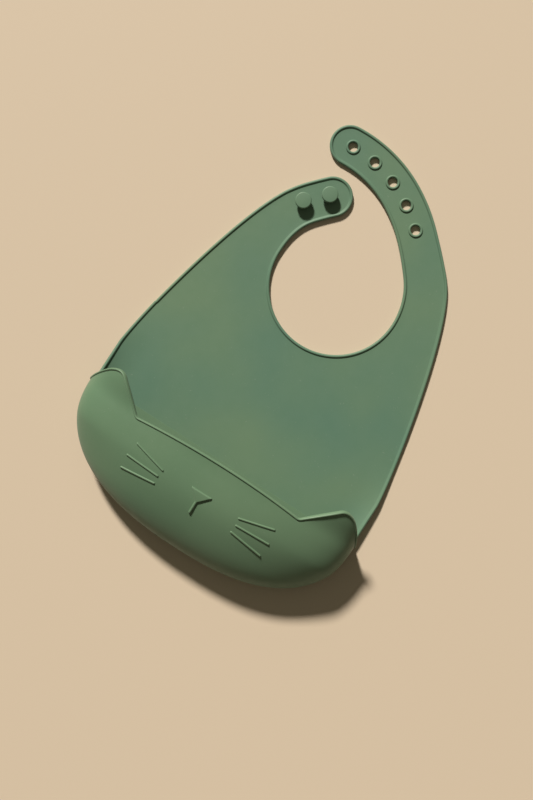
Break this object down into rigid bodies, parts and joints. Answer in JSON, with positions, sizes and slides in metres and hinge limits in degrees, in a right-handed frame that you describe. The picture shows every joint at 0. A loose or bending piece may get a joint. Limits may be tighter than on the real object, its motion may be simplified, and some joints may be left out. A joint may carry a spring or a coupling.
{
  "type": "silicone bib",
  "caption": "Soft moulded baby bib: raised-rim panel, scoop pocket with cat ears and raised face, and a neck strap with eyelets that buttons over studs on a short tab.",
  "frame": {"origin": "on the midline of the flat back face, between the neck opening and the pocket's mouth", "axes": "+Z out of the front face, +Y towards the neck, +X to the right when the front is seen with the neck at the top"},
  "size_m": [0.2198, 0.32, 0.0475],
  "materials": {
    "panel": "matte moulded silicone, sage green",
    "strap": "matte moulded silicone, sage green",
    "pocket": "satin moulded silicone, sage green",
    "studs": "satin moulded silicone, sage green",
    "face": "satin moulded silicone, sage green"
  },
  "bodies": {
    "lap": {"lap_panel": "panel", "pocket_back": "panel", "pocket_side_left": "pocket", "pocket_side_right": "pocket", "pocket_bottom": "pocket"},
    "pocket_flap": {"pocket_front": "pocket", "pocket_lip": "pocket", "ear_left": "pocket", "ear_right": "pocket", "nose": "face", "whisker_left_1": "face", "whisker_left_2": "face", "whisker_left_3": "face", "whisker_right_1": "face", "whisker_right_2": "face", "whisker_right_3": "face"},
    "chest": {"chest_panel": "panel"},
    "neck": {"collar": "panel"},
    "shoulder_right": {"shoulder_right": "strap"},
    "strap_root": {"strap_root": "strap"},
    "strap_hole_1": {"strap_hole_1": "strap", "eyelet_1": "strap"},
    "strap_hole_2": {"strap_hole_2": "strap", "eyelet_2": "strap"},
    "strap_hole_3": {"strap_hole_3": "strap", "eyelet_3": "strap"},
    "strap_hole_4": {"strap_hole_4": "strap", "eyelet_4": "strap"},
    "strap_hole_5": {"strap_hole_5": "strap", "eyelet_5": "strap"},
    "shoulder_left": {"shoulder_left": "strap"},
    "tab_inner": {"tab_inner": "strap", "stud_inner": "studs"},
    "tab_outer": {"tab_outer": "strap", "stud_outer": "studs"}
  },
  "joints": [
    {"name": "chest_bend", "type": "hinge", "parent": "lap", "child": "chest", "pos_m": [0, 0.014, 0.0016], "axis": [1, 0, 0], "range_deg": [-25, 25], "stiffness_Nm_per_rad": 0.02},
    {"name": "collar_bend", "type": "hinge", "parent": "chest", "child": "neck", "pos_m": [0, 0.036, 0.0016], "axis": [1, 0, 0], "range_deg": [-25, 25], "stiffness_Nm_per_rad": 0.02},
    {"name": "pocket_open", "type": "hinge", "parent": "lap", "child": "pocket_flap", "pos_m": [0, -0.112, 0.0166], "axis": [1, 0, 0], "range_deg": [0, 15], "stiffness_Nm_per_rad": 0.05},
    {"name": "strap_curl_1", "type": "hinge", "parent": "neck", "child": "shoulder_right", "pos_m": [0.0637, 0.1024, 0.0016], "axis": [-1, 0, 0], "range_deg": [-15, 25], "stiffness_Nm_per_rad": 0.004},
    {"name": "strap_curl_2", "type": "hinge", "parent": "shoulder_right", "child": "strap_root", "pos_m": [0.05484, 0.13481, 0.0016], "axis": [-0.8609, -0.5088, 0], "range_deg": [-15, 25], "stiffness_Nm_per_rad": 0.004},
    {"name": "strap_curl_3", "type": "hinge", "parent": "strap_root", "child": "strap_hole_1", "pos_m": [0.03201, 0.16122, 0.0016], "axis": [-0.6978, -0.7163, 0], "range_deg": [-15, 25], "stiffness_Nm_per_rad": 0.004},
    {"name": "strap_curl_4", "type": "hinge", "parent": "strap_hole_1", "child": "strap_hole_2", "pos_m": [0.0177, 0.17369, 0.0016], "axis": [-0.5974, -0.8019, 0], "range_deg": [-15, 25], "stiffness_Nm_per_rad": 0.004},
    {"name": "strap_curl_5", "type": "hinge", "parent": "strap_hole_2", "child": "strap_hole_3", "pos_m": [0.00159, 0.18373, 0.0016], "axis": [-0.4542, -0.8909, 0], "range_deg": [-15, 25], "stiffness_Nm_per_rad": 0.004},
    {"name": "strap_curl_6", "type": "hinge", "parent": "strap_hole_3", "child": "strap_hole_4", "pos_m": [-0.01612, 0.19052, 0.0016], "axis": [-0.2574, -0.9663, 0], "range_deg": [-15, 25], "stiffness_Nm_per_rad": 0.004},
    {"name": "strap_curl_7", "type": "hinge", "parent": "strap_hole_4", "child": "strap_hole_5", "pos_m": [-0.03485, 0.19344, 0.0016], "axis": [-0.0492, -0.9988, 0], "range_deg": [-15, 25], "stiffness_Nm_per_rad": 0.004},
    {"name": "tab_curl_1", "type": "hinge", "parent": "neck", "child": "shoulder_left", "pos_m": [-0.0637, 0.1024, 0.0016], "axis": [-1, 0, 0], "range_deg": [-15, 25], "stiffness_Nm_per_rad": 0.004},
    {"name": "tab_curl_2", "type": "hinge", "parent": "shoulder_left", "child": "tab_inner", "pos_m": [-0.05773, 0.12932, 0.0016], "axis": [-0.9063, 0.4226, 0], "range_deg": [-15, 25], "stiffness_Nm_per_rad": 0.004},
    {"name": "tab_curl_3", "type": "hinge", "parent": "tab_inner", "child": "tab_outer", "pos_m": [-0.04528, 0.14721, 0.0016], "axis": [-0.7108, 0.7034, 0], "range_deg": [-15, 25], "stiffness_Nm_per_rad": 0.004}
  ],
  "couplings": [
    {"joint": "collar_bend", "follows": "chest_bend", "ratio": 1},
    {"joint": "strap_curl_2", "follows": "strap_curl_1", "ratio": 1},
    {"joint": "strap_curl_3", "follows": "strap_curl_1", "ratio": 1},
    {"joint": "strap_curl_4", "follows": "strap_curl_1", "ratio": 1},
    {"joint": "strap_curl_5", "follows": "strap_curl_1", "ratio": 1},
    {"joint": "strap_curl_6", "follows": "strap_curl_1", "ratio": 1},
    {"joint": "strap_curl_7", "follows": "strap_curl_1", "ratio": 1},
    {"joint": "tab_curl_2", "follows": "tab_curl_1", "ratio": 1},
    {"joint": "tab_curl_3", "follows": "tab_curl_1", "ratio": 1}
  ]
}
